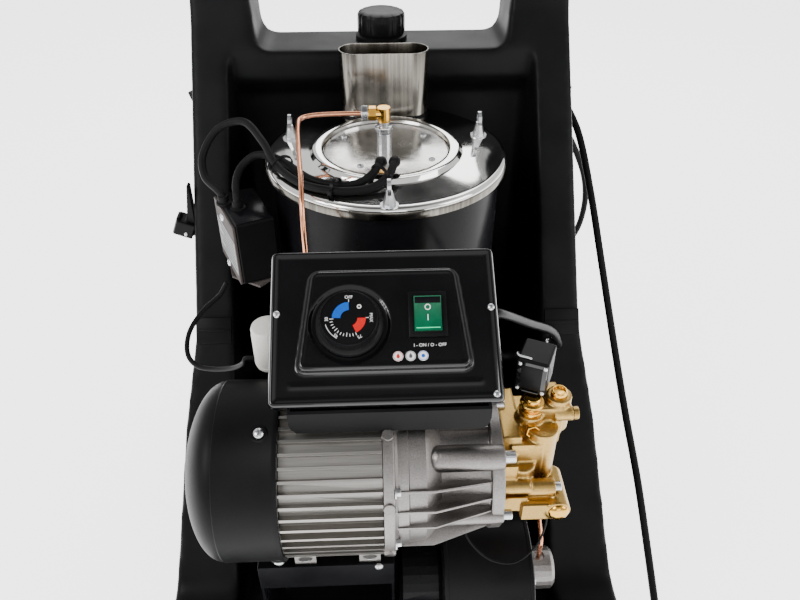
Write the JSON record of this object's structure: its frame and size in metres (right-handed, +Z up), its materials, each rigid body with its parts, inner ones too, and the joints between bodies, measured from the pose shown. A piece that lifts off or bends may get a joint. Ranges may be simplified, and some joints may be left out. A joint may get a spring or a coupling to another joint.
{
  "type": "hot-water steam cleaner",
  "caption": "Mobile hot-water steam cleaner with its hood off: moulded wheeled chassis, upright fired boiler, motor pump across the front and a control box above it.",
  "frame": {"origin": "on the floor, under the middle of the machine's box without its mains cord", "axes": "+Z up, -Y towards the user at the control panel, +X to the pump-head side"},
  "size_m": [0.7533, 0.7988, 0.8795],
  "materials": {
    "moulded_black": "fine moulded grain, satin black",
    "gloss_black": "high gloss vacuum-formed black",
    "rubber": "matt black",
    "tyre": "solid black rubber",
    "enamel_black": "satin black enamel",
    "polished_steel": "bright polished stainless steel",
    "zinc_steel": "zinc plated steel",
    "cast_alloy": "cast and extruded aluminium",
    "brass": "forged brass",
    "copper": null,
    "cream_plastic": "cream plastic",
    "green_lens": "lit translucent green",
    "grey_plastic": "dark grey plastic"
  },
  "bodies": {
    "machine": {"chassis": "moulded_black", "wheel_axle": "zinc_steel", "foot_left": "rubber", "foot_right": "rubber", "hood_latch": "rubber", "filler_neck": "moulded_black", "boiler_base": "enamel_black", "boiler_jacket": "enamel_black", "boiler_lid": "polished_steel", "burner_head_plate": "polished_steel", "chimney": "polished_steel", "heating_coil": "zinc_steel", "lid_nut_front": "zinc_steel", "lid_nut_left": "zinc_steel", "lid_nut_right": "zinc_steel", "nozzle_holder": "zinc_steel", "nozzle_elbow": "brass", "fuel_pipe": "copper", "ignition_lead_front": "rubber", "ignition_lead_rear": "rubber", "ignition_transformer": "rubber", "transformer_bracket": "zinc_steel", "transformer_lead": "rubber", "motor_body": "cast_alloy", "motor_end_shield": "cast_alloy", "fan_cowl": "moulded_black", "stator": "copper", "motor_bracket": "enamel_black", "crankcase": "cast_alloy", "pump_bolt": "zinc_steel", "pump_head": "brass", "pressure_switch": "rubber", "control_panel": "gloss_black", "control_box": "gloss_black", "thermostat_body": "cream_plastic", "switch_frame": "grey_plastic", "capacitor": "cream_plastic", "panel_strap": "moulded_black", "blower_housing": "moulded_black", "blower_motor": "enamel_black", "fuel_pump": "cast_alloy", "air_duct": "enamel_black", "cord_gland": "moulded_black", "cord_lower": "rubber", "cord_coil": "rubber", "cord_upper": "rubber", "mains_plug": "rubber", "cord_hook_left": "moulded_black", "cord_hook_right": "moulded_black"},
    "wheel_left": {"wheel_rim_left": "grey_plastic", "tyre_left": "tyre"},
    "wheel_right": {"wheel_rim_right": "grey_plastic", "tyre_right": "tyre"},
    "motor_rotor": {"rotor_shaft": "zinc_steel", "cooling_fan": "grey_plastic", "swash_plate": "zinc_steel"},
    "blower_wheel": {"blower_impeller": "grey_plastic"},
    "temperature_knob": {"thermostat_knob": "rubber"},
    "rocker_switch": {"rocker": "green_lens"},
    "fuel_cap": {"filler_cap": "moulded_black"}
  },
  "joints": [
    {"name": "wheel_left_spin", "type": "hinge", "parent": "machine", "child": "wheel_left", "pos_m": [-0.273, 0.262, 0.125], "axis": [1, 0, 0], "continuous": true},
    {"name": "wheel_right_spin", "type": "hinge", "parent": "machine", "child": "wheel_right", "pos_m": [0.273, 0.262, 0.125], "axis": [1, 0, 0], "continuous": true},
    {"name": "motor_spin", "type": "hinge", "parent": "machine", "child": "motor_rotor", "pos_m": [-0.05, -0.199, 0.391], "axis": [1, 0, 0], "continuous": true},
    {"name": "blower_spin", "type": "hinge", "parent": "machine", "child": "blower_wheel", "pos_m": [0.099, -0.19, 0.19], "axis": [1, 0, 0], "continuous": true},
    {"name": "knob_turn", "type": "hinge", "parent": "machine", "child": "temperature_knob", "pos_m": [-0.0407, -0.17078, 0.54822], "axis": [0, 0.5402, -0.8415], "range_deg": [0, 270]},
    {"name": "rocker_tilt", "type": "hinge", "parent": "machine", "child": "rocker_switch", "pos_m": [0.03, -0.16543, 0.55284], "axis": [-1, 0, 0], "range_deg": [0, 14]},
    {"name": "fuel_cap_turn", "type": "hinge", "parent": "machine", "child": "fuel_cap", "pos_m": [0, 0.315, 0.675], "axis": [0, 0, 1], "range_deg": [0, 90]}
  ]
}
